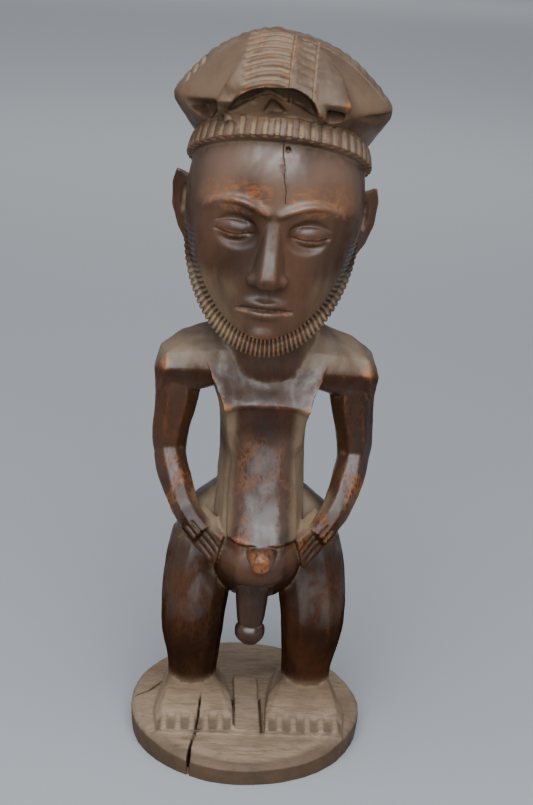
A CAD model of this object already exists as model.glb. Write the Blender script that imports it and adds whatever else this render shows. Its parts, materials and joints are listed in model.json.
import json
from functools import partial
from math import cos, pi, radians, sin

import bmesh
import bpy
import numpy as np
from mathutils import Matrix, Vector

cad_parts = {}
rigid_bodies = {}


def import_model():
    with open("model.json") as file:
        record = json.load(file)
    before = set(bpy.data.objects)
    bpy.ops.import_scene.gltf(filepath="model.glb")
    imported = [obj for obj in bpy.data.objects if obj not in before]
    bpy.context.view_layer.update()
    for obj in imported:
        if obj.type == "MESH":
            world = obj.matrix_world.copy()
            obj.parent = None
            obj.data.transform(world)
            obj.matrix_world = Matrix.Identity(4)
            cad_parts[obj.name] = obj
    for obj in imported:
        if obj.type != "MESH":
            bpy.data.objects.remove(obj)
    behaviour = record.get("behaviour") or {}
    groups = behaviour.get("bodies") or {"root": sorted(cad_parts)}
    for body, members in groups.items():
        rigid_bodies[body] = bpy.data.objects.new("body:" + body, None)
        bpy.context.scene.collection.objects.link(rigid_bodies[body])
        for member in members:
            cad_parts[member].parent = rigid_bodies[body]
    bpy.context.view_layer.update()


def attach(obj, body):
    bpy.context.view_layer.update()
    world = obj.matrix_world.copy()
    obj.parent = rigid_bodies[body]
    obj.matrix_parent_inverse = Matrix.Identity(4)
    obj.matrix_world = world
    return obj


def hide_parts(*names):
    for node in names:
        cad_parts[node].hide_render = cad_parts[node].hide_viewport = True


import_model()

# The round plinth is the foot of the block of wood that the whole figure is carved from.
# Its rim is hewn a little unevenly, its top edge is bevelled with a knife, and a crooked
# drying crack runs in from the front edge to under the figure's right foot.
MM = 0.001
CRACK = [(-29, -39.5, 0.8), (-29.6, -43, 0.95), (-31.6, -51, 1.1), (-32.5, -63, 1.3),
         (-32.8, -75, 1.3)]
CRACK_OVERSHOOT = 5
CRACK_TOP = 14
PLINTH_RADIUS = 67.25
PLINTH_THICKNESS = 15
SAWN_OFF_BELOW = 3
PLINTH_PROFILE = ((-SAWN_OFF_BELOW, 0.985), (3.75, 0.995), (11.8, 1.0), (14.1, 0.976), (15, 0.952))
scene = bpy.context.scene
block = bpy.data.collections.new("block")
scene.collection.children.link(block)


def place(x, y, z):
    """A point in millimetres, counted up from the plinth's top, as a world point."""
    return Vector((x, y, z + PLINTH_THICKNESS)) * MM


def roughed_out(name, bm):
    bmesh.ops.recalc_face_normals(bm, faces=bm.faces)
    mesh = bpy.data.meshes.new(name)
    bm.to_mesh(mesh)
    bm.free()
    mass = bpy.data.objects.new(name, mesh)
    block.objects.link(mass)
    return mass


def skin_rings(name, rings):
    """Skins a closed mass over a run of outlines that have as many points each."""
    bm = bmesh.new()
    loops = [[bm.verts.new(point) for point in ring] for ring in rings]
    count = len(loops[0])
    for lower, upper in zip(loops, loops[1:]):
        for i in range(count):
            j = (i + 1) % count
            bm.faces.new((lower[i], lower[j], upper[j], upper[i]))
    bm.faces.new(loops[0][::-1])
    bm.faces.new(loops[-1])
    return roughed_out(name, bm)


def hewn(name, corners):
    """A mass hewn flat between its corners."""
    bm = bmesh.new()
    for corner in corners:
        bm.verts.new(place(*corner))
    bmesh.ops.convex_hull(bm, input=bm.verts)
    return roughed_out(name, bm)


def keep_result(target):
    """Replaces an object's mesh with what its modifiers make of it."""
    graph = bpy.context.evaluated_depsgraph_get()
    result = bpy.data.meshes.new_from_object(target.evaluated_get(graph))
    target.modifiers.clear()
    target.data = result


def cut_away(target, cutters):
    for cutter in cutters:
        cut = target.modifiers.new("cut", "BOOLEAN")
        cut.operation = "DIFFERENCE"
        cut.object = cutter
    keep_result(target)
    for cutter in cutters:
        bpy.data.objects.remove(cutter)


def drying_crack():
    """A wedge along the crack that gapes more at the top than underneath."""
    gap = []
    low, high = -PLINTH_THICKNESS - CRACK_OVERSHOOT, CRACK_TOP
    for x, y, gape in CRACK:
        gap.append([place(x - 0.5 * gape, y, low), place(x + 0.5 * gape, y, low),
                    place(x + 1.1 * gape, y, high), place(x - 1.1 * gape, y, high)])
    return skin_rings("crack", gap)


plinth_rings = []
for height, share in PLINTH_PROFILE:
    ring = []
    for k in range(96):
        angle = 2 * pi * k / 96
        hewing = 1 + 0.006 * cos(3 * angle + 0.6) + 0.004 * cos(7 * angle)
        reach = PLINTH_RADIUS * share * hewing
        ring.append(Vector((reach * cos(angle), reach * sin(angle), height)) * MM)
    plinth_rings.append(ring)
plinth = skin_rings("plinth", plinth_rings)
cut_away(plinth, [drying_crack()])

# The feet are carved in low relief out of the plinth's top: a sloping instep, a straight row
# of toes, and a flat strip of plinth left standing between the two feet.
BODY_X = 2
FOOT = [
    (8.5, -39.5, 3.6), (52.5, -39.5, 3.2), (8.5, -41, -3), (53.0, -41, -3), (9, -26, 5.0),
    (52.5, -24, 4.8), (11, -14, 9.0), (50, -12, 9.0), (20, -4, 17), (46, -3, 17), (18, 20, 9),
    (47, 20, 9), (14, 26, -3), (51, 26, -3), (56, -16, -3), (11, 10, -3), (55, -20, 2.5),
]
STRIP = [(-6.3, -40, 3.2), (7.6, -40, 3.2), (-6.3, -41, -3), (7.6, -41, -3), (-6.3, 18, 3.4),
         (7.6, 18, 3.4), (-6.3, 18, -3), (7.6, 18, -3)]


def both_sides(side, rows):
    """Rows of numbers that start with x, set on one side of the body."""
    return [(BODY_X + side * x, *rest) for x, *rest in rows]


for side in (-1, 1):
    hewn("foot", both_sides(side, FOOT))
hewn("strip", STRIP)

# The legs are short and heavy with bent knees. They stand under broad hips and full, round
# buttocks, and the loins hang free between them.
LEG = [
    (-2, 33.5, 4, 15, 16, 18), (10, 33.5, 4, 14.5, 15, 17), (22, 33.5, 4, 14.5, 15.5, 16),
    (34, 34, 2, 16, 17, 17), (46, 34.5, -1, 17.5, 19, 18), (58, 34.5, -2, 18.5, 20, 19),
    (72, 33.5, 2, 19.5, 20.5, 22), (88, 31, 7, 20.5, 19, 25), (104, 27, 10, 21, 17, 24),
]
HIPS = [
    (74, 0, 8, 40, 14, 26), (84, 0, 8, 47, 19, 30), (96, 0, 9, 48, 20, 32), (108, 0, 9, 46, 19, 32),
    (121, 0, 10, 40, 17, 28), (129, 0, 11, 31, 13, 23), (136, 0, 12, 22, 9, 17),
]
LOINS = [
    (50, -2.3, -23, 4, 4, 4), (54, -2.3, -22.5, 7.8, 7.4, 7.4), (58, -2.3, -22, 8.6, 8.2, 8.2),
    (60.5, -2.3, -22, 7.9, 7.5, 7.5), (61.5, -2.3, -22, 6.6, 6.2, 6.2),
    (64, -2.3, -22, 7.6, 7.2, 7.2), (75, -2.1, -21, 8.8, 8.4, 8.4), (96, -2, -19, 9.6, 9, 9),
]


def rounded(angle, squareness):
    """The cosine and sine of an angle, pushed out towards the corners of a square."""
    c, s = cos(angle), sin(angle)
    reach = (abs(c) ** squareness + abs(s) ** squareness) ** (-1 / squareness)
    return c * reach, s * reach


def eased(rows, steps=4):
    """Rows of numbers with more set between them, so that a form bends instead of breaking."""
    rows = [rows[0], *rows, rows[-1]]
    bent = []
    for a, b, c, d in zip(rows, rows[1:], rows[2:], rows[3:]):
        for t in [k / steps for k in range(steps)]:
            bent.append([
                q + 0.5 * t * (r - p + t * (2 * p - 5 * q + 4 * r - s + t * (3 * (q - r) + s - p)))
                for p, q, r, s in zip(a, b, c, d)])
    return [*bent, list(rows[-1])]


def standing_form(name, stations, x=BODY_X, sides=16, squareness=2.3):
    """A mass over level outlines: (height, shift in x, middle y, half width, front, back)."""
    rings = []
    for height, shift_x, middle_y, half_width, front, back in eased(stations):
        ring = []
        for k in range(sides):
            c, s = rounded(2 * pi * (k + 0.5) / sides, squareness)
            depth = back if s > 0 else front
            ring.append(place(x + shift_x + half_width * c, middle_y + depth * s, height))
        rings.append(ring)
    return skin_rings(name, rings)


def egg(name, centre, radii, tilt=0.0, turn=0.0):
    """A rounded mass with three half axes, tilted about x and then turned about z, in degrees."""
    bm = bmesh.new()
    bmesh.ops.create_uvsphere(bm, u_segments=40, v_segments=26, radius=1)
    spin = Matrix.Rotation(radians(turn), 4, "Z") @ Matrix.Rotation(radians(tilt), 4, "X")
    size = Matrix.Diagonal((*[r * MM for r in radii], 1))
    bm.transform(Matrix.Translation(place(*centre)) @ spin @ size)
    return roughed_out(name, bm)


for side in (-1, 1):
    standing_form("leg", [(z, side * x, *rest) for z, x, *rest in LEG], sides=14)
    egg("buttock", (BODY_X + side * 19, 23, 97), (21, 21, 26), tilt=-8)
standing_form("hips", HIPS)
standing_form("loins", LOINS, sides=20, squareness=2)

# The trunk is long and narrow. Its flat front swells forward over the belly and ends in an edge
# above the stub of a navel. The chest slopes out to a lip with two corners that overhang.
TRUNK = [
    (72, 0, 4, 15, 15, 20), (84, 0, 4, 24, 28, 28), (95, 0, 2, 26, 36, 30), (107, 0, 0, 26, 41, 30),
    (118, 0, 0, 25.5, 40.5, 27), (130, 0, 1, 24.5, 34, 22), (143, 0, 2, 24, 28, 20),
    (160, 0, 2, 23.5, 24.5, 19.5), (177, 0, 2, 24, 22.0, 20), (190, 0, 1, 26, 22, 21),
    (203, 0, 0, 31, 21, 23), (216, 0, 0, 30, 19, 21), (228, 0, 1, 24, 17, 18),
]
NAVEL = [(3, -34, 114.5, 9.6, 8.2), (2.8, -44, 113.4, 7.8, 6.3), (2.3, -51.5, 111.5, 5.6, 4.9),
         (2.2, -53, 111.1, 4.2, 3.6)]
CHEST = [
    (221, -31, 34, -9, -14, 0), (213, -30.5, 33.5, -16.5, -17.5, 0),
    (206, -27.5, 31, -21, -19.5, 0), (201.5, -25, 28.8, -24.8, -22.2, 0),
    (198, -23, 27, -27.2, -25.2, 0), (195.8, -21.6, 25.8, -29.8, -27, 1),
    (194.2, -20.8, 25.1, -31.8, -28.2, 2), (193, -20.4, 24.7, -31.8, -28.2, 2.4),
    (190.5, -20, 24.5, -28.8, -26.6, 2), (186, -19.5, 24, -26.2, -25.2, 1),
    (179, -19, 23.5, -23.4, -24, 0), (171, -18, 22.5, -20.8, -23.8, 0),
    (163, -16, 20.5, -18.8, -25.2, 0), (158, -15.5, 19.5, -17, -24, 0),
]
BELLY_FRONT = [
    (180, -14, 18, -14, -20, 0), (170, -15, 19, -17, -23.6, 0), (160, -15.5, 20, -19, -26.6, 0),
    (143, -16, 21, -22.5, -31.2, 0), (130, -16.5, 22, -27, -37.2, 0),
    (123, -16.5, 22, -31, -41.6, 0), (120.6, -16, 21.5, -34, -44, -0.8),
    (119.2, -15.8, 21.3, -33.5, -43.6, -0.8), (114, -14, 20, -28, -36, 0),
]
ACROSS, FORWARD, UPRIGHT = Vector((1, 0, 0)), Vector((0, 1, 0)), Vector((0, 0, 1))


def limb(name, joints, sides=10, squareness=2.5, reference=ACROSS):
    """A mass along a path: (x, y, z, half width along the reference, half depth)."""
    joints = eased(joints)
    centres = [Vector(joint[:3]) for joint in joints]
    rings = []
    for k, (centre, joint) in enumerate(zip(centres, joints)):
        before, after = centres[max(k - 1, 0)], centres[min(k + 1, len(centres) - 1)]
        along = (after - before).normalized()
        deep = along.cross(reference).normalized()
        wide = deep.cross(along).normalized()
        ring = []
        for n in range(sides):
            c, s = rounded(2 * pi * (n + 0.5) / sides, squareness)
            ring.append(place(*(centre + wide * (joint[3] * c) + deep * (joint[4] * s))))
        rings.append(ring)
    return skin_rings(name, rings)


def apron(name, rows, behind, steps=1):
    """A front over rows: (height, left x, right x, y at the corners, y amid, the corners' drop)."""
    rings = []
    for height, left, right, y_corner, y_amid, drop in eased(rows, steps):
        ring = [place(right, behind, height), place(left, behind, height)]
        for k in range(13):
            aside = k / 6 - 1
            x = (left + right) / 2 + aside * (right - left) / 2
            y = y_amid + (y_corner - y_amid) * abs(aside) ** 3
            ring.append(place(x, y, height - drop * abs(aside) ** 3))
        rings.append(ring)
    return skin_rings(name, rings)


standing_form("trunk", TRUNK, sides=14, squareness=2.5)
egg("belly", (BODY_X, -14, 105.5), (25.5, 31.5, 18.5), tilt=4)
limb("navel", NAVEL, sides=16, squareness=2)
apron("chest", CHEST, 0)
apron("belly_front", BELLY_FRONT, -5, steps=4)

# The shoulders are slabs with a bevelled front edge. The upper arms hang straight, the
# forearms come forward with flat knife cuts, and the hands lie flat on either side of the belly.
SHOULDER = [
    (12, -14, 221), (34, -14, 217), (54, -13, 216), (30, -17, 209), (55, -16.5, 208),
    (60.5, -10, 206), (61, 6, 203), (58, 8, 215), (46, 8, 224), (24, 8, 232), (12, 8, 234),
    (12, 17, 229), (45, 17, 216), (58, 13, 206), (58.5, 6, 188), (58.5, -6, 188), (32, -8, 196),
    (32, 13, 190), (12, -16, 206), (12, 15, 198), (50, -9, 196),
]
UPPER_ARM = [
    (47, 0, 206, 13.5, 12), (48, 0, 188, 12.2, 12.2), (50.5, 1, 172, 10.4, 12),
    (51.2, 2, 160, 9.6, 11.6), (50, 5, 150, 7.5, 9),
]
FOREARM = [
    (51.2, 6, 162, 8.2, 8), (50.6, -3, 154, 9.2, 10), (47, -10, 143, 9, 9.5),
    (42.5, -15, 132, 8.2, 8.4), (37, -20, 123, 7.5, 7.5), (31, -25, 117, 7, 7),
]
HAND = [
    (38, -18, 126), (20.5, -33, 118), (24.5, -32.5, 101), (40.5, -18, 112), (31, -9, 128),
    (16.5, -25, 121), (22, -20, 99.5), (36, -8, 108),
]
for side in (-1, 1):
    hewn("shoulder", both_sides(side, SHOULDER))
    limb("upper_arm", both_sides(side, UPPER_ARM), sides=8)
    limb("forearm", both_sides(side, FOREARM), sides=8)
    hewn("hand", both_sides(side, HAND))

# The neck is thick and smooth, and carries a large egg-shaped head with a high round forehead.
# The head leans and turns a little to the figure's right.
HEAD_X = 2
HEAD_MIDDLE_Z = 287
HEAD_PIVOT = (HEAD_X, 0, 310)
HEAD_LEAN = 2.8
HEAD_TURN = -3
CHEEK_TURN = 24
NECK = [
    (194, 0.5, 3, 24, 22, 23), (213, 0.5, 3, 26, 25, 25), (230, 0.5, 2, 25.5, 23.5, 25),
    (256, 0.5, 4, 27, 22, 28),
]
HEAD = [
    (225, 0, -24, 12, 17, 10), (231, 0, -22, 20, 24, 16), (239, 0, -18, 27, 30.5, 24),
    (249, 0, -12, 34, 36.5, 34), (261, 0, -8, 39.5, 40, 41), (275, 0, -5, 43.5, 42.5, 45),
    (290, 0, -4, 46, 43.5, 47), (305, 0, -3, 46, 44.5, 48), (320, 0, -2, 43.5, 44, 47),
    (335, 0, -1, 37, 38, 42), (344, 0, 0, 30, 29, 36), (350, 0, 0, 20, 18, 24),
]
pivot = Matrix.Translation(place(*HEAD_PIVOT))
lean = Matrix.Rotation(radians(HEAD_LEAN), 4, "Y")
head_pose = pivot @ lean @ Matrix.Rotation(radians(HEAD_TURN), 4, "Z") @ pivot.inverted()
standing_form("neck", NECK, sides=24)
skull = standing_form("skull", HEAD, x=HEAD_X, sides=48, squareness=2.05)
sockets = []
for side in (-1, 1):
    middle = (HEAD_X + side * 19.5, -47, 289)
    sockets.append(egg("socket", middle, (14, 9, 9.5), tilt=-14, turn=side * CHEEK_TURN))
cut_away(skull, sockets)
skull.data.transform(head_pose)

# The features are calm and set out by thirds: arched brows, a straight nose, lowered lids and
# closed lips. They are left standing as the face around them is cut back.
NOSE = [
    (-2.8, -46, 300), (2.8, -46, 300), (-3, -52.5, 283), (3, -52.5, 283), (-3.6, -59.5, 268.5),
    (3.6, -59.5, 268.5), (-9, -50, 265), (9, -50, 265), (-8.5, -44, 271), (8.5, -44, 271),
    (-3.4, -57, 263.5), (3.4, -57, 263.5), (0, -40, 263),
]
BROW = [(2, -46.5, 298, 1.8, 3), (10, -46.6, 302.5, 1.9, 3.4), (19, -44, 304.5, 1.9, 3.4),
        (28, -38, 302.5, 1.8, 3), (35.5, -31, 296.5, 1.4, 2)]
LIPS = (("upper_lip", 254.2, -46.4, 2.7), ("lower_lip", 248.6, -45.6, 2.9))
features = [hewn("nose", [(HEAD_X + x, y, z) for x, y, z in NOSE])]
for side in (-1, 1):
    line = [(HEAD_X + side * x, *rest) for x, *rest in BROW]
    features.append(limb("brow", line, sides=10, reference=UPRIGHT))
    lid = (HEAD_X + side * 19, -36.2, 289.5)
    features.append(egg("eyelid", lid, (10.8, 7.6, 6.6), tilt=-8, turn=side * CHEEK_TURN))
    features.append(egg("wing_of_nose", (HEAD_X + side * 7, -50, 266.8), (3.6, 4.4, 3.6)))
for name, height, reach, thick in LIPS:
    line = []
    for step in (-1, -0.6, -0.2, 0.2, 0.6, 1):
        fullness = 1 - 0.62 * step ** 2
        line.append((HEAD_X + 14 * step, reach + 6.5 * step ** 2, height - 0.5 * step ** 2,
                     thick * fullness, 5.4 * fullness))
    features.append(limb(name, line, sides=12, reference=UPRIGHT))
features.append(egg("chin", (HEAD_X, -42.5, 238), (10, 7.5, 7)))
for feature in features:
    feature.data.transform(head_pose)

# The ears stand out flat from the head and are hollowed with a gouge. A collar beard follows
# the jaw from one ear round under the chin to the other.
EAR = [
    (43, -2, 304), (52.5, 4, 309), (54.5, 6, 301), (53.6, 6, 289), (50, 5, 278), (45, 2, 271),
    (41.5, -1, 276), (43, 13, 304), (52, 11, 307), (53.6, 13, 300), (52.5, 13, 289), (49, 12, 279),
    (44, 11, 273), (41, 12, 277),
]
JAW_HALF_BREADTH = 43.5
JAW_DROP = 56.5
BEARD_END = 92
for side in (-1, 1):
    ear = hewn("ear", [(HEAD_X + side * x, y, z) for x, y, z in EAR])
    middle = (HEAD_X + side * 50, -1.5, 292)
    cut_away(ear, [egg("gouged", middle, (3.4, 6.5, 11.5), tilt=-6, turn=side * 34)])
    ear.data.transform(head_pose)
jaw = []
for degrees in range(-BEARD_END, BEARD_END + 1, 4):
    fullness = 1 - 0.6 * (abs(degrees) / BEARD_END) ** 1.5
    across, drop = sin(radians(degrees)), cos(radians(degrees))
    jaw.append((HEAD_X + JAW_HALF_BREADTH * across, -42.5 + 36 * across ** 2,
                HEAD_MIDDLE_Z - JAW_DROP * drop, 5.4 * fullness, 5.2 * fullness))
beard = limb("beard", jaw, sides=10, squareness=3, reference=FORWARD)
beard.data.transform(head_pose)

# A raised band goes round the head, high on the forehead and low at the nape. It is left
# standing as the wood above and below it is cut back.
BAND_MIDDLE = (HEAD_X, -1, 322.5)
BAND_TILT = -24
BAND_HALF_BREADTH = 47.0
BAND_HALF_DEPTH = 48.0
BAND_WIDTH = 11
band_slope = Matrix.Rotation(radians(BAND_TILT), 3, "X")
half = BAND_WIDTH / 2
band_rings = []
for lift, spread in ((-half, -2.0), (-half + 0.4, 0.9), (0, 0.2), (half - 1, -1.2), (half, -3.5)):
    ring = []
    for k in range(120):
        angle = 2 * pi * k / 120
        local = Vector(((BAND_HALF_BREADTH + spread) * cos(angle),
                        (BAND_HALF_DEPTH + spread) * sin(angle), lift))
        ring.append(place(*(Vector(BAND_MIDDLE) + band_slope @ local)))
    band_rings.append(ring)
band = skin_rings("band", band_rings)
band.data.transform(head_pose)

# The coiffure spreads like a cap over the band. Four ribbed tresses run down from the crown, a
# smooth ridge on either side of the front one ends in a boss, and all is hollowed out beneath.
COIFFURE_MIDDLE = (2.8, 2)
COIFFURE_TURN = -6
COIFFURE_HALF_BREADTH = 54.3
COIFFURE_HALF_DEPTH = 53.5
COIFFURE_LOBES = 0.032
CROWN_Z = 385
CAP = [
    (321, 0.66, 1.0), (325, 0.72, 1.0), (331, 0.82, 0.75), (339, 0.92, 0.35), (345.5, 0.99, 0.1),
    (350, 1.0, 0), (354, 0.955, 0), (360, 0.865, 0), (366, 0.76, 0), (371, 0.66, 0),
    (375.6, 0.54, 0), (379.7, 0.39, 0), (382.8, 0.23, 0), (383.6, 0.06, 0),
]
cap_turn = Matrix.Rotation(radians(COIFFURE_TURN), 3, "Z")
cap_rings = []
for height, share, sag in CAP:
    ring = []
    for k in range(120):
        angle = 2 * pi * k / 120
        c, s = cos(angle), sin(angle)
        lobed = 1 + COIFFURE_LOBES * cos(4 * angle)
        local = cap_turn @ Vector((COIFFURE_HALF_BREADTH * share * lobed * c,
                                   COIFFURE_HALF_DEPTH * share * lobed * s, 0))
        lower = sag * (0.42 * local.y + 0.05 * local.x) + 1.4 * c
        x, y = COIFFURE_MIDDLE[0] + local.x, COIFFURE_MIDDLE[1] + local.y
        ring.append(place(x, y, height - lower))
    cap_rings.append(ring)
cap = skin_rings("cap", cap_rings)
ARCH = [(-29, 336), (-28.8, 343), (-27.6, 349), (-24.6, 353.8), (-20.6, 357.2), (-15, 359.8),
        (-9, 361.2), (-2, 360.8), (4, 361.2), (8.5, 360), (12.2, 358), (15.2, 355.2),
        (17.2, 351.4), (18.4, 347), (18.6, 336)]
HOLLOWS = [
    [(x, -64, z) for x, z in ARCH] + [(x * 0.94, -33, z - 2) for x, z in ARCH],
    [(-62, -20, 350.5), (-58, -44, 352.5), (-34, -60, 354.5), (-35.5, -58, 331), (-46, -46, 328),
     (-60, -20, 341), (-29, -22, 350.5), (-36, -15, 348), (-33, -18, 342)],
    [(19.8, -58, 353.5), (34.5, -58, 353), (31, -56, 338), (22, -56, 336), (22, -32, 352),
     (30, -31, 351.5), (22.5, -43, 342), (29, -43, 342.5)],
    [(34, -54, 347.8), (62, -26, 347.8), (64, -4, 347.6), (34, -54, 338), (62, -26, 338),
     (64, -4, 338), (36, -38.5, 347.4), (45, -29.5, 347.4), (54, -13, 347.4), (38, -40, 340),
     (46, -31, 340), (53.5, -16, 340)],
    [(-16, 66, 330), (22, 66, 330), (-16, 66, 344), (22, 66, 344), (-12, 40, 332), (18, 40, 332),
     (3, 66, 352), (3, 42, 342)],
]
FACETS_AND_BOSSES = (
    [(13, -14, 380.6), (23, -22, 375.2), (29.5, -34, 364.6), (33.8, -45.5, 352.6), (30, -47, 352.8),
     (19, -47.5, 353.8), (17.5, -33, 368.6), (32, -42, 348.5), (19, -40, 351), (32, -30, 354),
     (26, -20, 362), (14, -14, 372)],
    [(-9, -14, 380), (-18.5, -24, 373.2), (-26.5, -36, 361), (-32, -45, 352.6), (-29, -46.4, 352.6),
     (-24, -47, 352.6), (-20, -36, 362.2), (-31, -42, 349), (-24, -40, 350), (-28, -30, 354),
     (-21, -20, 362), (-10, -14, 372)],
)
for corners in FACETS_AND_BOSSES:
    hewn("facet_and_boss", corners)
cut_away(cap, [hewn("hollow", corners) for corners in HOLLOWS])
GABLE = [(-27.5, -38, 342), (-27.5, -38, 345.8), (-6, -36.5, 358), (19, -38, 345.6),
         (20, -39, 340), (-27, -22, 340), (18, -22, 340), (-6, -22, 358)]
NOTCH = [(-12.5, -45, 345), (-5.5, -45, 357.5), (6.5, -45, 345.5), (-7, -32, 348), (1.5, -32, 348),
         (-4.5, -31, 352.5)]
cut_away(hewn("gable", GABLE), [hewn("notch", NOTCH)])

# All of these are one piece of wood, so the masses are joined without a seam and the saw has
# left the underside flat. The edges where two masses meet are softened by handling.
CHIP = 0.62
FINE_PASSES = 3
SOFT_PASSES = 14


def join_masses():
    bm = bmesh.new()
    for mass in list(block.objects):
        bm.from_mesh(mass.data)
        bpy.data.objects.remove(mass)
    mesh = bpy.data.meshes.new("figure_carving")
    bm.to_mesh(mesh)
    bm.free()
    carving = bpy.data.objects.new("figure_carving", mesh)
    block.objects.link(carving)
    remesh = carving.modifiers.new("chips", "REMESH")
    remesh.mode = "VOXEL"
    remesh.voxel_size = CHIP * MM
    soften = carving.modifiers.new("soften", "SMOOTH")
    soften.factor = 0.5
    soften.iterations = FINE_PASSES
    keep_result(carving)
    return carving


def read_surface(mesh):
    """The mesh's points in millimetres from the plinth's top, and its normals, as arrays."""
    points = np.empty(len(mesh.vertices) * 3)
    mesh.vertices.foreach_get("co", points)
    normals = np.empty(len(mesh.vertices) * 3)
    mesh.vertex_normals.foreach_get("vector", normals)
    return points.reshape(-1, 3) / MM - (0, 0, PLINTH_THICKNESS), normals.reshape(-1, 3)


def rise(value, low, high):
    """Rises smoothly from 0 to 1 between two values."""
    t = np.clip((value - low) / (high - low), 0, 1)
    return t * t * (3 - 2 * t)


def fall(value, low, high):
    """Falls smoothly from 1 to 0 between two values."""
    return 1 - rise(value, low, high)


def within(value, low, high, fade):
    """1 between two values, fading to 0 outside them."""
    return rise(value, low - fade, low) * fall(value, high, high + fade)


def in_head(points):
    """Points as they lay before the head took its lean and turn."""
    turn = np.array(head_pose.inverted().to_3x3())
    return (points - np.array(HEAD_PIVOT)) @ turn.T + np.array(HEAD_PIVOT)


def beside_face(points):
    """Points as arrays aside from the face's middle line, back and up, before the head leaned."""
    local = in_head(points)
    return local[:, 0] - HEAD_X, local[:, 1], local[:, 2]


def move_surface(mesh, points):
    mesh.vertices.foreach_set("co", ((points + (0, 0, PLINTH_THICKNESS)) * MM).ravel())
    mesh.update()


def evened(mesh, values, times):
    """Values at the mesh's points after each has been averaged with its neighbours' some times."""
    ends = np.empty(len(mesh.edges) * 2, dtype=np.int64)
    mesh.edges.foreach_get("vertices", ends)
    one, other = ends[0::2], ends[1::2]
    neighbours = np.bincount(ends, minlength=len(values))
    smooth = values.copy()
    for _ in range(times):
        for axis in range(smooth.shape[1]):
            column = smooth[:, axis]
            total = np.bincount(one, column[other], len(column))
            total += np.bincount(other, column[one], len(column))
            smooth[:, axis] = 0.4 * column + 0.6 * total / neighbours
    return smooth


carving = join_masses()
points, normals = read_surface(carving.data)
x, y, z = points.T
off_middle, toward_nape, up_head = beside_face(points)
face_ring = np.hypot(off_middle / JAW_HALF_BREADTH, (HEAD_MIDDLE_Z - up_head) / JAW_DROP)
face_share = within(up_head, 236, 316, 6) * fall(toward_nape, -24, -16)
face_share *= fall(face_ring, 0.84, 0.92)
cap_share = rise(z, 346, 349) * rise(np.hypot(x - HEAD_X, y), 12, 24)
torso_share = within(z, 127, 188, 5) * fall(y, -8, -2)
torso_share *= 0.9 * fall(np.abs(x - BODY_X), 24, 27)
elbow_share = 0.9 * within(z, 150, 166, 6) * rise(np.abs(x - BODY_X), 36, 40)
softened = evened(carving.data, points, SOFT_PASSES)
share = np.maximum.reduce((face_share, cap_share, torso_share, elbow_share))
move_surface(carving.data, points + (softened - points) * share[:, None])

# The fine carving is cut into the surface: flutes in the band, ribs across the tresses, notches
# in the beard, gaps between fingers and toes, and the long facets that the knife leaves.
BAND_FLUTES = 50
RIB_PITCH = 5.6
TRESS_EDGES = ((-19.5, 5.0), (7.2, 16.5))
SIDE_TRESS = (-12, 12)
BEARD_NOTCH_PITCH = 2.6
FINGER_WIDTH = 3.7
FIRST_TOE, TOE_PITCH = 17, 7.9
SLOTS = ([(-7.2, -4), (-6.9, -36)], [(8.6, -2), (8.9, -37)])
GOUGES = ([(-9, -52.5), (2, -53.2), (8, -52.6)], [(-4, -55.4), (9, -55.8)],
          [(-20, -47.5), (-12, -48.2)], [(18, -50), (25, -50.6)])
HAIR_CRACKS = ([(-66, -2), (-57, 4), (-48, 17)],
               [(-24, 0), (-26.6, -21), (-27.4, -31), (-29.2, -41.5)])
STROKES = ([(-38.6, -7), (-37.8, 2)], [(-42.4, -8), (-41.4, 1)], [(-46, -9), (-45, -1)])


def grooves(position, pitch, share, soft=0.18):
    """0 on the ribs and 1 in the grooves of an even run of them."""
    wave = 0.5 - 0.5 * np.cos(2 * pi * position / pitch)
    return rise(wave, 1 - share - soft, 1 - share + soft)


def beard_place(points):
    """How far along the beard a point lies, and how well it lies within the beard."""
    x, y, z = beside_face(points)
    across, drop = x / JAW_HALF_BREADTH, (HEAD_MIDDLE_Z - z) / JAW_DROP
    angle = np.arctan2(across, drop)
    ring = np.hypot(across, drop)
    front = -42.5 + 36 * np.sin(angle) ** 2
    inside = within(ring, 0.91, 1.12, 0.02) * fall(y, front + 3, front + 6)
    inside *= fall(np.abs(angle), 1.45, 1.58)
    return angle * 0.5 * (JAW_HALF_BREADTH + JAW_DROP), inside


def band_place(points):
    """Round the band, up it, and how well a point lies on its outer face."""
    tilt = np.array(band_slope)
    local = (in_head(points) - np.array(BAND_MIDDLE)) @ tilt
    across, deep = local[:, 0] / BAND_HALF_BREADTH, local[:, 1] / BAND_HALF_DEPTH
    on_band = within(local[:, 2], -BAND_WIDTH / 2 - 1, BAND_WIDTH / 2 - 1.2, 0.6)
    on_band *= rise(np.hypot(across, deep), 0.955, 0.985)
    return np.arctan2(across, -deep), local[:, 2], on_band


def band_relief(points):
    angle, up, on_band = band_place(points)
    flutes = grooves(angle, 2 * pi / BAND_FLUTES, 0.36)
    scallop = within(up, -BAND_WIDTH / 2 - 1, -BAND_WIDTH / 2 + 0.6, 0.5) * flutes
    return -1.25 * on_band * flutes - 0.8 * on_band * scallop


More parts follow.
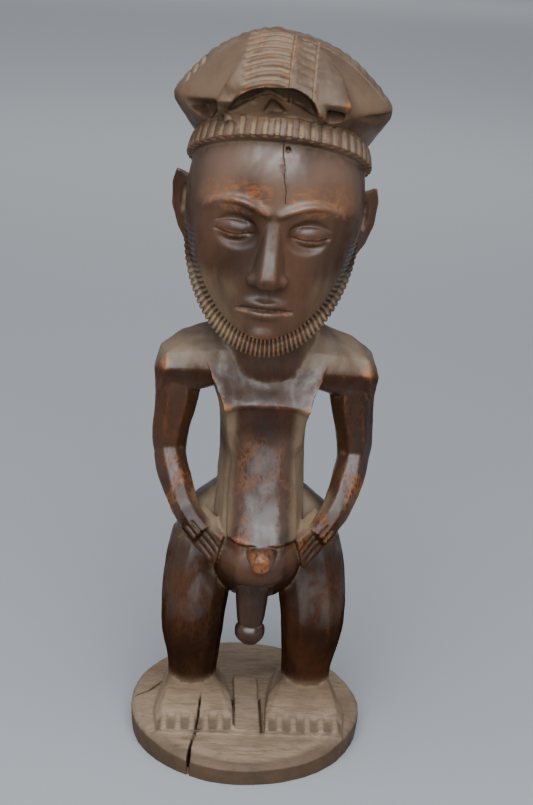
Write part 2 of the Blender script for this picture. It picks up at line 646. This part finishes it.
def tress_place(points, normals):
    """How deep a point lies in the ribs of a tress, and in the groove along its side."""
    turn = np.array(cap_turn)
    local = (points - np.array((*COIFFURE_MIDDLE, 0))) @ turn
    x, y, z = local.T
    drop = CROWN_Z - z
    dome = rise(z, 350, 354) * rise(normals[:, 2], 0.12, 0.3)
    runs = [(x, -y, TRESS_EDGES[0], 1.0, 0.0, 1.0), (x, -y, TRESS_EDGES[1], 0.45, 0.0, 0.6),
            (y, x, SIDE_TRESS, 0.25, 0.45, 0.45), (y, -x, SIDE_TRESS, 0.3, 0.1, 0.1),
            (x, y, SIDE_TRESS, 0.8, 0.8, 0.8)]
    ribs, sides = np.zeros(len(points)), np.zeros(len(points))
    for across, out, (low, high), strength, low_line, high_line in runs:
        ahead = rise(out, 6, 9)
        bow = 0.010 * (across - (low + high) / 2) ** 2
        cut = grooves(np.hypot(out, drop) - bow, RIB_PITCH, 0.46, 0.34)
        ribs += (strength * ahead * cut * rise(across, low, low + 3)
                 * fall(across, high - 1.2, high - 0.4))
        sides += ahead * (low_line * within(across, low - 0.4, low, 0.5)
                          + high_line * within(across, high, high + 0.4, 0.5))
    return dome * ribs, dome * sides


def along_line(points, line):
    """How far each point lies from a line of (x, y) points, seen from above."""
    nearest = np.full(len(points), 99.0)
    for (x0, y0), (x1, y1) in zip(line, line[1:]):
        run = np.array((x1 - x0, y1 - y0))
        share = np.clip(((points[:, :2] - (x0, y0)) @ run) / (run @ run), 0, 1)
        offset = points[:, :2] - (x0, y0) - share[:, None] * run
        nearest = np.minimum(nearest, np.hypot(offset[:, 0], offset[:, 1]))
    return nearest


def strokes_place(points):
    """The short strokes that a knife has left on the left lobe of the coiffure."""
    strokes = np.zeros(len(points))
    for stroke in STROKES:
        strokes = np.maximum(strokes, fall(along_line(points, stroke), 0.35, 1.0))
    return strokes * rise(points[:, 2], 349, 351)


def hair_relief(points, normals):
    ribs, sides = tress_place(points, normals)
    return -1.3 * ribs - 0.9 * sides - 0.8 * strokes_place(points)


def finger_relief(points):
    relief = np.zeros(len(points))
    for side in (-1, 1):
        x = side * (points[:, 0] - BODY_X)
        y, z = points[:, 1], points[:, 2]
        down = (x - 20.5) * 0.66 + (118 - z) * 0.75
        along = (x - 20.5) * 0.75 - (118 - z) * 0.66
        hand = within(along, -3, 17, 1.5) * within(down, 1.5, 4 * FINGER_WIDTH - 0.5, 1.0)
        outer = fall(y, -15 + 0.55 * (x - 20), -12 + 0.55 * (x - 20))
        gaps = grooves(down, FINGER_WIDTH, 0.26)
        gaps *= rise(down, 0.55 * FINGER_WIDTH, 0.8 * FINGER_WIDTH)
        relief -= 0.85 * hand * outer * rise(x, 15, 17) * gaps
    return relief


def foot_relief(points, normals):
    """Toes, slots beside the strip, fine cracks, and a few cross cuts in front of the toes."""
    x = np.abs(points[:, 0] - BODY_X)
    y, z = points[:, 1], points[:, 2]
    level = rise(normals[:, 2], 0.3, 0.6) * fall(z, 9, 13)
    toes = within(x, 9.5, 52.5, 0.6) * within(y, -46, -32, 4.5) * rise(z, 1, 2)
    relief = -1.2 * toes * grooves(x - FIRST_TOE, TOE_PITCH, 0.62, 0.3)
    for slot in SLOTS:
        relief -= 1.4 * fall(along_line(points, slot), 0.25, 1.0)
    for crack in HAIR_CRACKS:
        relief -= 2.0 * fall(along_line(points, crack), 0.2, 0.75)
    for gouge in GOUGES:
        relief -= 0.7 * fall(along_line(points, gouge), 0.1, 0.9)
    return level * relief


def front_fall(points):
    """How far the plinth falls away from the toes to its front edge, where it is bevelled too."""
    y, z = points[:, 1], points[:, 2]
    in_front = fall(z, 0.8, 1.6) * np.clip(z / 8 + 1, 0, 1)
    rim = np.clip(np.hypot(points[:, 0], y) - PLINTH_RADIUS + 10, 0, 8)
    return in_front * (2.2 * rise(-y, 41, 64) + 0.22 * rim * rise(-y, 41, 50))


def forehead_crack(points):
    x, y, z = beside_face(points)
    aside = x - 0.6 - 0.157 * (334 - z) - 0.3 * np.sin(0.55 * z)
    return within(z, 306, 333, 3) * fall(np.abs(aside), 0.0, 0.3) * fall(y, -38, -34)


def nail_hole(points):
    x, y, z = beside_face(points)
    return fall(np.hypot(x - 3.4, z - 331), 0.8, 1.5) * fall(y, -38, -34)


def face_relief(points):
    x, y, z = beside_face(points)
    front = fall(y, -38, -34)
    relief = np.zeros(len(points))
    for side in (-1, 1):
        u = (side * x - 19) / 10.5
        lid = fall(y, -30, -27) * fall(np.abs(u), 0.85, 1.05)
        relief -= 1.1 * lid * np.exp(-((z - 286.9 - 1.6 * u ** 2) / 0.6) ** 2)
        relief -= 0.7 * lid * np.exp(-((z - 294.6 + 2.4 * u ** 2) / 0.7) ** 2)
    mouth = front * fall(np.abs(x), 12.5, 15.5)
    relief -= 1.6 * mouth * np.exp(-((z - 251.4 + 0.004 * x ** 2) / 0.8) ** 2)
    relief -= 0.8 * front * within(z, 256.5, 261.5, 1.5) * np.exp(-(x / 2.0) ** 2)
    return relief - 0.6 * forehead_crack(points) - 2.0 * nail_hole(points)


def back_relief(points, normals):
    x, y, z = points[:, 0] - BODY_X, points[:, 1], points[:, 2]
    behind = rise(y, 8, 14) * rise(normals[:, 1], 0.2, 0.5)
    spine = 1.6 * within(z, 135, 205, 14) * np.exp(-(x / 3.0) ** 2)
    cleft = 3.0 * within(z, 76, 118, 8) * np.exp(-(x / 2.6) ** 2)
    return -behind * (spine + cleft)


def split_where(carving, wanted):
    """Splits the chips where the carving is finer than they are."""
    picked = wanted(read_surface(carving.data)[0])
    bm = bmesh.new()
    bm.from_mesh(carving.data)
    bm.verts.ensure_lookup_table()
    edges = [e for e in bm.edges if picked[e.verts[0].index] and picked[e.verts[1].index]]
    bmesh.ops.subdivide_edges(bm, edges=edges, cuts=1, use_grid_fill=True)
    bm.to_mesh(carving.data)
    bm.free()


CELL_FACTORS = (9176, 31337, 69069)


def knife_cuts(points, pitch, depth):
    """Shallow hollows that meet in low ridges, as a knife or a small adze leaves them."""
    cells = points / np.array(pitch)
    home = np.floor(cells).astype(np.int64)
    nearest = np.full(len(points), 9.0)
    for step in np.ndindex(3, 3, 3):
        cell = home + np.array(step) - 1
        mixed = (cell[:, 0] * 73856093) ^ (cell[:, 1] * 19349663) ^ (cell[:, 2] * 83492791)
        seat = np.stack([((mixed * factor) >> 7 & 1023) / 1023 for factor in CELL_FACTORS], axis=1)
        nearest = np.minimum(nearest, ((cell + 0.15 + 0.7 * seat - cells) ** 2).sum(axis=1))
    return depth * (np.clip(nearest, 0, 0.8) - 0.3)


def tool_marks(points):
    y, z = points[:, 1], points[:, 2]
    _, toward_nape, up_head = beside_face(points)
    on_face = within(up_head, 232, 335, 4) * fall(toward_nape, -12, -2)
    on_plinth = fall(z, 2, 7)
    body = (1 - on_face) * (1 - on_plinth)
    marks = body * (knife_cuts(points, (11, 11, 24), 0.6)
                    + knife_cuts(points + 3.3, (6, 6, 10), 0.32))
    marks *= 1 + 0.4 * within(z, 118, 222, 6)
    marks += on_face * knife_cuts(points, (7, 7, 9), 0.10)
    on_toes = within(y, -44, -32, 3) * rise(z, 1, 2)
    rough = knife_cuts(points, (17, 4.5, 9), 0.5) + knife_cuts(points + 1.7, (6, 1.6, 4), 0.2)
    return marks + on_plinth * (1 - 0.8 * on_toes) * rough


def finely_carved(points):
    """Where the beard's notches and the forehead's crack need smaller chips."""
    x, y, z = beside_face(points)
    cracked = (np.abs(x - 3.2) < 3) & (z > 299) & (z < 335) & (y < -36)
    return (beard_place(points)[1] > 0.02) | cracked


split_where(carving, finely_carved)
points, normals = read_surface(carving.data)
run, in_beard = beard_place(points)
relief = band_relief(points) + hair_relief(points, normals) + finger_relief(points)
relief += foot_relief(points, normals) + face_relief(points) + back_relief(points, normals)
at_the_chin = 1 - 0.6 * rise(np.abs(run), 35, 60)
relief -= 1.2 * in_beard * at_the_chin * grooves(run, BEARD_NOTCH_PITCH, 0.45)
relief += tool_marks(points) * (1 - in_beard) * (1 - band_place(points)[2])
carved = points + normals * relief[:, None]
carved[:, 2] -= front_fall(points)
move_surface(carving.data, carved)

# Handling has worn the edges down to orange wood, and dust has settled in the hollows. Both are
# read from the carved surface itself: how far each point stands out from the wood around it.
WORN_SPOTS = [
    (2.2, -54, 110.5, 6), (-19.5, -31, 192, 4), (24, -31, 192, 4), (33.8, -45, 352, 5),
    (-53, -15, 212, 5), (56, -15, 211, 5), (-56, 0, 330, 3),
]
EDGE_PASSES, SWELL_PASSES = 5, 70
points, normals = read_surface(carving.data)
x, y, height = points.T
aside, facing_up = np.abs(x - BODY_X), normals[:, 2]
off_middle, _, up_head = beside_face(points)
fine = evened(carving.data, points, EDGE_PASSES)
broad = evened(carving.data, fine, SWELL_PASSES)
stands_out = ((points - fine) * normals).sum(axis=1)
swells = ((points - broad) * normals).sum(axis=1)
upward = rise(facing_up, -0.55, 0.05)

angle, _, on_band = band_place(points)
in_hair = rise(height, 336, 341) * (1 - on_band)
cave = within(x, -27, 16, 1.5) * within(y, -43, -16, 1) * within(height, 338, 359, 1)
caves = in_hair * np.maximum(rise(-swells, 0.35, 1.5), 0.55 * cave)
scoop = within(height, 328, 349, 1) * (x < -28) * (y < -10) * rise(facing_up, 0.0, 0.25)
right_end = within(height, 337, 347, 1) * (x > 33) * (y < -2) * in_hair
on_face = within(height, 232, 318, 6) * fall(y, -14, -4) * (1 - in_beard)
near_lines = np.maximum(nail_hole(points), within(up_head, 298, 338, 2))
near_lines *= (np.abs(off_middle - 2.6) < 4.5) * (y < -34)
forehead = within(up_head, 303, 330, 7) * fall(y, -32, -8) * (1 - on_band)
mottled = within(up_head, 302, 310, 6) * fall(y, -40, -24) * (1 - near_lines)
beard_sides = rise(np.abs(run), 20, 46)
neck_sides = within(height, 216, 262, 8) * rise(aside, 14, 24)
neck_and_head = within(height, 216, 335, 10) * fall(y, -5, 10)
shoulder_tops = within(height, 203, 236, 4) * rise(facing_up, 0.45, 0.8)
shoulder_fronts = within(height, 204, 222, 3) * (aside > 26) * fall(y, -10, -4)
torso_front = within(height, 130, 170, 9) * fall(y, -14, -8) * (aside < 30)
torso_sides = within(height, 126, 186, 10) * within(aside, 18, 27, 4) * fall(y, 4, 12)
crackled = within(height, 118, 168, 12) * fall(y, -16, -8)
under_belly = within(height, 92, 113, 5) * fall(y, -26, -18) * (aside < 24)
hips = within(height, 106, 136, 8) * rise(y, -26, -14) * fall(y, 2, 10)
hips *= 1 - 0.7 * rise(aside, 31, 44)
hands = within(height, 94, 131, 3) * within(aside, 14, 42, 2) * fall(y, -14, -8)
legs = within(height, 14, 92, 8) * fall(y, 10, 20) * rise(np.abs(x + 0.2), 11, 14)
toe_gaps = rise(aside, 9, 10) * fall(aside, 52, 54) * within(y, -44, -33, 3)
toe_gaps *= rise(height, 0.5, 1.5) * fall(height, 6, 9)
toe_gaps *= grooves(aside - FIRST_TOE, TOE_PITCH, 0.55, 0.3)
in_front = rise(-y, 34, 50) * fall(height, 0, 1)
outer_ring = rise(np.hypot(x, y) - PLINTH_RADIUS, -6.5, -4.5)
plinth_side = fall(height, -4, -2) * fall(facing_up, 0.3, 0.6)

on_plinth = fall(height, 9, 13)
lines = np.maximum.reduce((forehead_crack(points), nail_hole(points), -0.7 * finger_relief(points),
                           0.5 * in_beard * grooves(run, BEARD_NOTCH_PITCH, 0.45)))
for crack in HAIR_CRACKS:
    lines = np.maximum(lines, on_plinth * fall(along_line(points, crack), 0.3, 0.8))
for slot in SLOTS:
    lines = np.maximum(lines, 0.7 * on_plinth * fall(along_line(points, slot), 0.5, 1.2))
tress_ribs, tress_sides = tress_place(points, normals)
filled = np.maximum.reduce((on_band * grooves(angle, 2 * pi / BAND_FLUTES, 0.25, 0.14),
                            0.62 * rise(tress_ribs, 0.45, 1.0), 0.6 * tress_sides,
                            strokes_place(points)))
worn = np.zeros(len(points))
for *spot, reach in WORN_SPOTS:
    worn = np.maximum(worn, fall(np.linalg.norm(points - spot, axis=1), 0.5 * reach, reach))
SURFACE = {
    "edge": rise(stands_out, 0.05, 0.24) * (1 - near_lines) * (1 - 0.7 * on_band)
    * (1 - 0.9 * hands),
    "crevice": rise(-stands_out, 0.03, 0.16) * (1 - 0.8 * on_face) * upward * (1 - 0.9 * hands)
    * (1 - 0.9 * in_beard),
    "ridge": rise(swells, 0.15, 1.0) * (1 - 0.2 * on_face),
    "hollow": rise(-swells, 0.12, 0.9) * (1 - 0.85 * on_face) * upward * (1 - in_hair)
    * (1 - 0.9 * in_beard),
    "caves": np.maximum.reduce((caves, 0.9 * scoop, 0.65 * right_end)),
    "matt": np.maximum.reduce((legs, 0.8 * hands, caves, 0.45 * on_face, 0.3 * shoulder_fronts,
                               0.6 * scoop)),
    "flecked": np.maximum(0.14, crackled),
    "mottled": mottled,
    "dulled": np.maximum.reduce((forehead, 0.38 * neck_and_head, 0.34 * torso_front,
                                 0.22 * under_belly)) * (1 - in_beard * beard_sides),
    "polished": rise(facing_up, 0.02, 0.3),
    "dirt": np.maximum(toe_gaps, 0.2 * in_front),
    "plinth_side": np.maximum(plinth_side, 0.75 * in_front * outer_ring),
    "hair": rise(height, 330, 338) * (1 - on_band),
    "band": on_band,
    "plinth": fall(height, 8, 21),
    "beard": in_beard * (0.8 - 0.78 * beard_sides),
    "dusted": np.maximum.reduce((hips, 0.7 * neck_sides, torso_sides, 0.35 * shoulder_tops)),
    "dark_lines": lines,
    "filled_grooves": filled,
    "worn_spots": worn,
}
for name, values in SURFACE.items():
    layer = carving.data.attributes.new(name, "FLOAT", "POINT")
    layer.data.foreach_set("value", np.clip(values, 0, 1).astype(np.float32))

# The carving keeps only the facets that its shape needs. The plinth is sawn flat underneath,
# and edges stay crisp where two cuts meet steeply.
FACETS = 190000
carving.data.calc_loop_triangles()
thin = carving.modifiers.new("facets", "DECIMATE")
thin.ratio = FACETS / len(carving.data.loop_triangles)
keep_result(carving)
bm = bmesh.new()
bm.from_mesh(carving.data)
whole = bm.verts[:] + bm.edges[:] + bm.faces[:]
sawn = bmesh.ops.bisect_plane(bm, geom=whole, plane_co=(0, 0, 0), plane_no=(0, 0, -1),
                              clear_outer=True)["geom_cut"]
bmesh.ops.holes_fill(bm, edges=[e for e in sawn if isinstance(e, bmesh.types.BMEdge)], sides=0)
bmesh.ops.recalc_face_normals(bm, faces=bm.faces)
bm.to_mesh(carving.data)
bm.free()
carving.data.shade_smooth()
carving.data.set_sharp_from_angle(angle=radians(50))

# The wood is a dark red-brown hardwood with upright grain, oiled and handled until the body
# shines. The coiffure, band and plinth are drier, paler and dusty.
DARK_WOOD = (0.024, 0.0115, 0.0070)
RED_WOOD = (0.060, 0.0235, 0.0110)
WORN_WOOD = (0.34, 0.115, 0.036)
DRY_WOOD = (0.100, 0.061, 0.037)
BARE_WOOD = (0.172, 0.115, 0.073)
BAND_WOOD = (0.095, 0.058, 0.036)
PLINTH_WOOD = (0.285, 0.202, 0.136)
PLINTH_GRAIN = (0.110, 0.070, 0.044)
DULLED_WOOD = (0.185, 0.112, 0.076)
SHADED_WOOD = (0.040, 0.023, 0.014)
GAP_DIRT = (0.085, 0.056, 0.037)
DUST = (0.250, 0.178, 0.106)
CRACK_BLACK = (0.010, 0.006, 0.004)
OILED_ROUGHNESS = 0.27
DARK_GLOSS = 0.34
PORE_DEPTH = 0.5 * MM
CRACKLE_CELLS = (420, 420, 150)
CRACKLE_WARP = 0.006
wood = bpy.data.materials.new("oiled_brown_wood")
wood.use_nodes = True
nodes, links = wood.node_tree.nodes, wood.node_tree.links
shader = nodes["Principled BSDF"]
where = nodes.new("ShaderNodeTexCoord").outputs["Object"]


def plug(node, socket, value):
    """Sets a shader node's input, or links another node's output to it."""
    socket = node.inputs[socket]
    if isinstance(value, bpy.types.NodeSocket):
        links.new(value, socket)
    elif isinstance(value, tuple) and socket.type == "RGBA":
        socket.default_value = (*value, 1)
    else:
        socket.default_value = value


def made(kind, **inputs):
    node = nodes.new("ShaderNode" + kind)
    for name, value in inputs.items():
        plug(node, name.replace("_", " "), value)
    return node


def surface(name):
    layer = made("Attribute")
    layer.attribute_name = name
    return layer.outputs["Fac"]


def stretched(vector, scale):
    return made("Mapping", Vector=vector, Scale=scale).outputs["Vector"]


def figures(*stretch, detail, rough, twist=0.0):
    """Noise in the wood, counted per metre along x, y and z."""
    return made("TexNoise", Vector=stretched(where, stretch), Scale=1.0, Detail=detail,
                Roughness=rough, Distortion=twist).outputs["Fac"]


def between_limits(value, low, high, top=1.0):
    ramp = made("MapRange", Value=value, From_Min=low, From_Max=high, To_Max=top)
    ramp.interpolation_type = "SMOOTHSTEP"
    return ramp.outputs["Result"]


def reckon(operation, first, second):
    node = made("Math")
    node.operation = operation
    node.use_clamp = operation == "ADD"
    plug(node, 0, first)
    plug(node, 1, second)
    return node.outputs[0]


times, plus, minus, greater = [
    partial(reckon, operation) for operation in ("MULTIPLY", "ADD", "SUBTRACT", "MAXIMUM")]


def blend(share, first, second):
    node = made("Mix")
    node.data_type = "RGBA"
    for socket, value in ((0, share), (6, first), (7, second)):
        plug(node, socket, value)
    return node.outputs[2]


streaks = figures(150, 150, 9, detail=5, rough=0.55, twist=0.3)
fibres = figures(700, 700, 30, detail=3, rough=0.6)
clouds = figures(26, 26, 16, detail=3, rough=0.5, twist=0.6)
specks = figures(300, 300, 300, detail=4, rough=0.6)
patches = figures(60, 60, 34, detail=5, rough=0.65, twist=0.5)
hatching = figures(90, 520, 380, detail=5, rough=0.7, twist=0.8)
wander = made("TexNoise", Vector=where, Scale=170).outputs["Color"]
bent = made("Mix")
bent.data_type = "VECTOR"
for socket, value in ((0, CRACKLE_WARP), (4, where), (5, wander)):
    plug(bent, socket, value)
crackle = made("TexVoronoi", Vector=stretched(bent.outputs[1], CRACKLE_CELLS), Scale=1.0)
crackle.feature = "DISTANCE_TO_EDGE"
band_dust, plinth_dust = surface("band"), surface("plinth")

colour = blend(between_limits(clouds, 0.35, 0.72), DARK_WOOD, RED_WOOD)
colour = blend(between_limits(streaks, 0.45, 0.72, 0.55), colour, RED_WOOD)
dry = plus(times(surface("hair"), 0.7), times(band_dust, 0.6))
dry = plus(plus(dry, plinth_dust), times(surface("beard"), 0.9))
pale = blend(between_limits(clouds, 0.35, 0.7), DRY_WOOD, BARE_WOOD)
pale = blend(between_limits(streaks, 0.5, 0.7, 0.5), pale, BARE_WOOD)
colour = blend(dry, colour, pale)
colour = blend(times(band_dust, 0.8), colour, BAND_WOOD)
side_wood = blend(between_limits(patches, 0.4, 0.6), DRY_WOOD, GAP_DIRT)
grain = blend(between_limits(hatching, 0.38, 0.78, 0.75), PLINTH_WOOD, PLINTH_GRAIN)
grain = blend(between_limits(clouds, 0.45, 0.75, 0.6), grain, PLINTH_GRAIN)
colour = blend(plinth_dust, colour, grain)
colour = blend(times(surface("dirt"), 0.8), colour, GAP_DIRT)
colour = blend(times(surface("caves"), 0.85), colour, SHADED_WOOD)
colour = blend(times(surface("plinth_side"), 0.95), colour, side_wood)
dulled = times(surface("dulled"), between_limits(clouds, 0.2, 0.6, 0.75))
colour = blend(dulled, colour, DULLED_WOOD)
rubbed = times(surface("edge"), between_limits(specks, 0.38, 0.6))
cracked = minus(1.0, between_limits(crackle.outputs["Distance"], 0.0, 0.3))
flecks = times(cracked, between_limits(patches, 0.43, 0.60))
flecks = times(flecks, surface("flecked"))
rubbed = greater(rubbed, times(flecks, plus(surface("ridge"), 0.35)))
rubbed = times(rubbed, minus(0.8, times(dry, 0.55)))
rubbed = times(rubbed, minus(1.0, plinth_dust))
worn_spots = times(surface("worn_spots"), between_limits(specks, 0.3, 0.5, 0.75))
mottles = times(surface("mottled"), between_limits(hatching, 0.44, 0.62, 0.62))
rubbed = greater(greater(rubbed, worn_spots), mottles)
colour = blend(rubbed, colour, WORN_WOOD)
settled = plus(times(surface("crevice"), 0.5), times(surface("hollow"), 0.5))
settled = times(settled, between_limits(specks, 0.25, 0.55))
settled = times(settled, minus(1.0, times(plinth_dust, 0.75)))
uneven = plus(0.4, between_limits(patches, 0.34, 0.56, 0.6))
settled = plus(settled, times(surface("filled_grooves"), uneven))
settled = plus(settled, times(surface("dusted"), between_limits(clouds, 0.25, 0.6, 0.95)))
settled = times(settled, plus(0.76, times(dry, 0.14)))
colour = blend(settled, colour, DUST)
colour = blend(surface("dark_lines"), colour, CRACK_BLACK)
plug(shader, "Base Color", colour)
smeared = between_limits(patches, 0.40, 0.62)
roughness = plus(times(settled, 0.4), times(dry, 0.14))
roughness = plus(roughness, between_limits(specks, 0.2, 0.8, 0.12))
roughness = plus(roughness, times(surface("matt"), 0.2))
roughness = plus(roughness, times(smeared, 0.14))
plug(shader, "Roughness", plus(roughness, OILED_ROUGHNESS))
gloss = plus(DARK_GLOSS, times(surface("polished"), 0.56))
gloss = times(gloss, minus(1.0, times(dry, 0.75)))
gloss = times(gloss, minus(1.0, times(smeared, 0.45)))
gloss = minus(gloss, times(surface("matt"), 0.4))
plug(shader, "Specular IOR Level", gloss)
relief_map = plus(times(streaks, 0.5), times(fibres, 0.5))
pores = made("Bump", Strength=0.25, Distance=PORE_DEPTH, Height=relief_map)
plug(shader, "Normal", pores.outputs["Normal"])
carving.data.materials.clear()
carving.data.materials.append(wood)
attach(carving, "root")
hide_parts("figure")

# The figure stands on a plain pale floor under wide, soft, slightly cool panels, and the camera
# looks down on it from a little to its right. Three more panels keep the far floor even.
FILM_HEIGHT = 36
CAMERA_PIXELS = 1350
PICTURE_HEIGHT = 805
CAMERA_DOWN, CAMERA_ASIDE, CAMERA_PAN, CAMERA_ROLL = 19.3653, 3.0, -0.2525, -3.3034
CAMERA_DISTANCE, CAMERA_HEIGHT = 0.6987, 0.4465
down, swing = radians(CAMERA_DOWN), radians(CAMERA_ASIDE)
sight = Vector((sin(swing) * cos(down), cos(swing) * cos(down), -sin(down)))
sight = Matrix.Rotation(radians(CAMERA_PAN), 3, "Z") @ sight
level = sight.cross(UPRIGHT).normalized()
rising = level.cross(sight)
roll = radians(CAMERA_ROLL)
axis_x = cos(roll) * level - sin(roll) * rising
axis_y = sin(roll) * level + cos(roll) * rising
camera_data = bpy.data.cameras.new("camera")
camera_data.sensor_fit = "VERTICAL"
camera_data.sensor_height = FILM_HEIGHT
camera_data.lens = FILM_HEIGHT * CAMERA_PIXELS / PICTURE_HEIGHT
camera_data.clip_start = 0.01
camera = bpy.data.objects.new("camera", camera_data)
scene.collection.objects.link(camera)
stand = Vector((-sin(swing) * CAMERA_DISTANCE, -cos(swing) * CAMERA_DISTANCE, CAMERA_HEIGHT))
turned = Matrix((axis_x, axis_y, -sight)).transposed().to_4x4()
camera.matrix_world = Matrix.Translation(stand) @ turned
scene.camera = camera

floor_mesh = bpy.data.meshes.new("floor")
bm = bmesh.new()
bmesh.ops.create_grid(bm, x_segments=1, y_segments=1, size=40)
bm.to_mesh(floor_mesh)
bm.free()
floor = bpy.data.objects.new("floor", floor_mesh)
scene.collection.objects.link(floor)
plain = bpy.data.materials.new("pale_floor")
plain.use_nodes = True
finish = plain.node_tree.nodes["Principled BSDF"].inputs
finish["Base Color"].default_value = (0.36, 0.37, 0.385, 1)
finish["Roughness"].default_value = 0.9
floor.data.materials.append(plain)

COOL_WHITE, WHITE = (0.92, 0.96, 1.0), (0.96, 0.98, 1.0)
for name, spot, aim, breadth, height, power, colour in (
    ("sky_panel", (-0.08, -0.6, 1.5), (0, 0, 0.2), 1.8, 1.6, 36, COOL_WHITE),
    ("front_panel", (-0.15, -1.9, 1.05), (0, 0, 0.2), 2.0, 1.5, 29, COOL_WHITE),
    ("far_floor_panel", (0, 1.6, 1.9), (0, 4.2, 0), 3.0, 1.0, 44, WHITE),
    ("farther_floor_panel", (0, 4.0, 3.4), (0, 8.5, 0), 8.0, 2.0, 80, WHITE),
    ("farthest_floor_panel", (0, 9.8, 3.0), (0, 9.9, 0), 10.0, 4.0, 150, WHITE),
):
    lamp = bpy.data.lights.new(name, "AREA")
    lamp.shape = "RECTANGLE"
    lamp.energy = power
    lamp.size, lamp.size_y = breadth, height
    lamp.color = colour
    panel = bpy.data.objects.new(name, lamp)
    panel.location = spot
    panel.rotation_euler = (Vector(aim) - Vector(spot)).to_track_quat("-Z", "Y").to_euler()
    scene.collection.objects.link(panel)
sky = bpy.data.worlds.new("sky")
sky.use_nodes = True
air = sky.node_tree.nodes["Background"].inputs
air["Color"].default_value = (0.75, 0.82, 0.90, 1)
air["Strength"].default_value = 0.28
scene.world = sky
